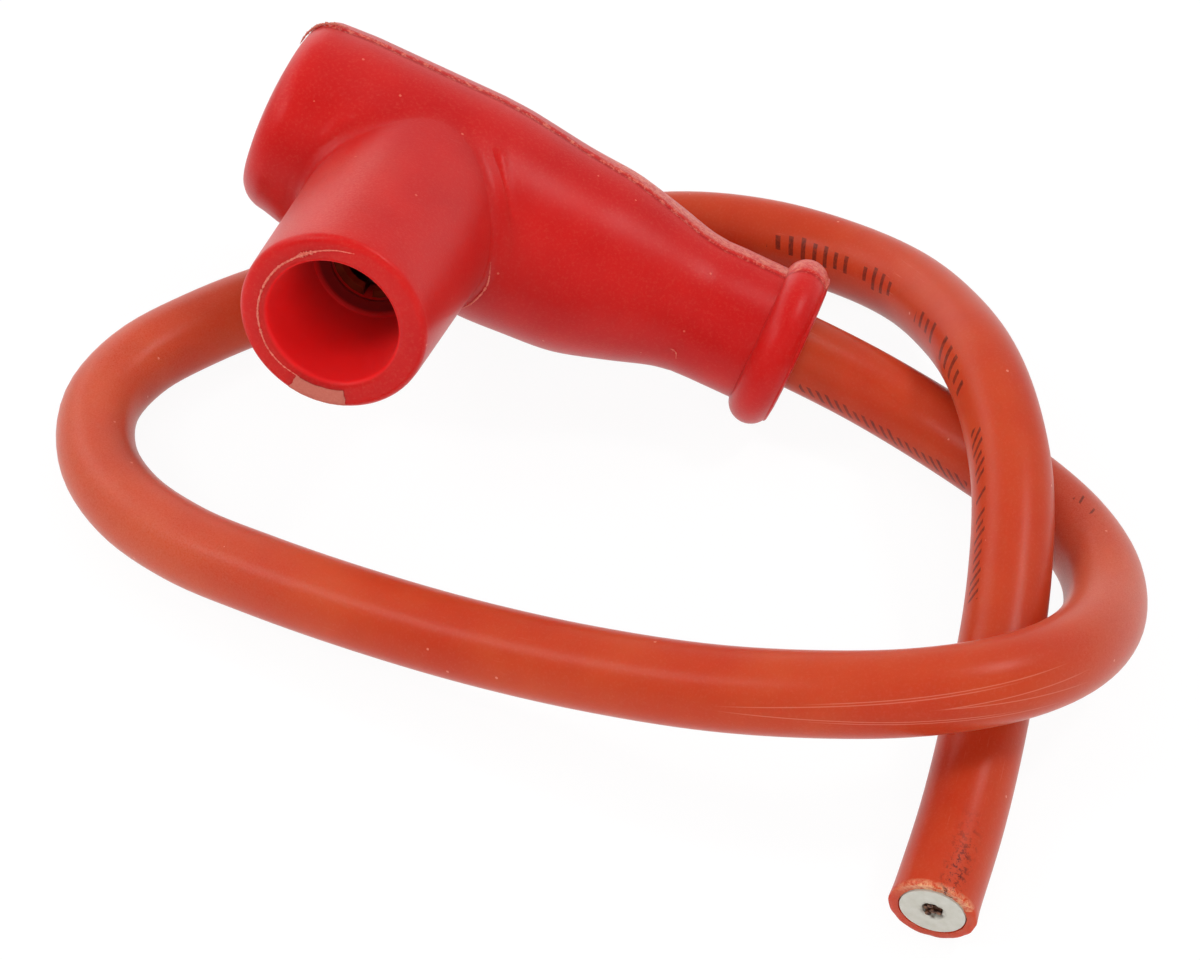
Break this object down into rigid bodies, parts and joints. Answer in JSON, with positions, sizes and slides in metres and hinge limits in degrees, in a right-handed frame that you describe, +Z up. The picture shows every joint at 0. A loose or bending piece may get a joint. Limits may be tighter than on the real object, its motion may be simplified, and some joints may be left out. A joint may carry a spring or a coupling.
{
  "type": "spark plug wire",
  "caption": "Right-angle silicone plug boot with its socket inside, on a short loop of ignition cable with a bare cut end.",
  "frame": {"origin": "on the table under the middle of the boot's own bounding box, the cable left out", "axes": "+X from the boot's closed end to its cable outlet, seen from above; the barrel's mouth faces -Y; +Z up"},
  "size_m": [0.1124, 0.0846, 0.0366],
  "materials": {
    "boot_silicone": "satin moulded red silicone",
    "brass": "dull turned brass",
    "spring_steel": "drawn spring wire",
    "jacket_silicone": "satin orange jacket with faint scuffs",
    "white_insulation": "dull cut face",
    "copper_strands": "dull tarnished copper strands"
  },
  "bodies": {
    "root": {"boot": "boot_silicone", "plug_socket": "brass", "socket_spring": "spring_steel", "cable_screw": "brass", "wire_jacket": "jacket_silicone", "wire_insulation": "white_insulation", "wire_conductor": "copper_strands"}
  },
  "joints": []
}
